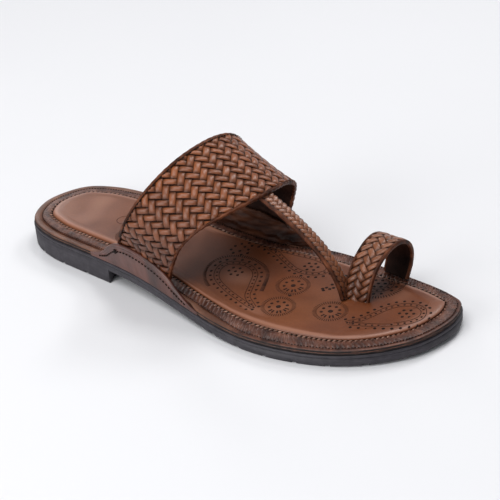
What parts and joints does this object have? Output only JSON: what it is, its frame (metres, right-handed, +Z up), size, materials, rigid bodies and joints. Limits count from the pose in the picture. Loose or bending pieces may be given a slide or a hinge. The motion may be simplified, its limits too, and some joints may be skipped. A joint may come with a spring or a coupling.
{
  "type": "kolhapuri toe-ring sandal",
  "caption": "Flat leather sandal for the right foot: woven instep band, braided centre strap and woven toe ring on a padded punched footbed with a low rubber heel.",
  "frame": {"origin": "floor level, below the centre of the bounding box", "axes": "+X towards the toe, +Y towards the big-toe side, +Z up"},
  "size_m": [0.285, 0.0998, 0.0872],
  "materials": {
    "outsole": "matte",
    "midsole": "satin",
    "crimped_band": "satin",
    "footbed": "burnished",
    "side_panel": "satin",
    "upper": "burnished"
  },
  "bodies": {
    "root": {"outsole": "outsole", "midsole": "midsole", "crimped_band": "crimped_band", "footbed": "footbed", "side_panel_lateral": "side_panel", "side_panel_medial": "side_panel", "upper": "upper"}
  },
  "joints": []
}
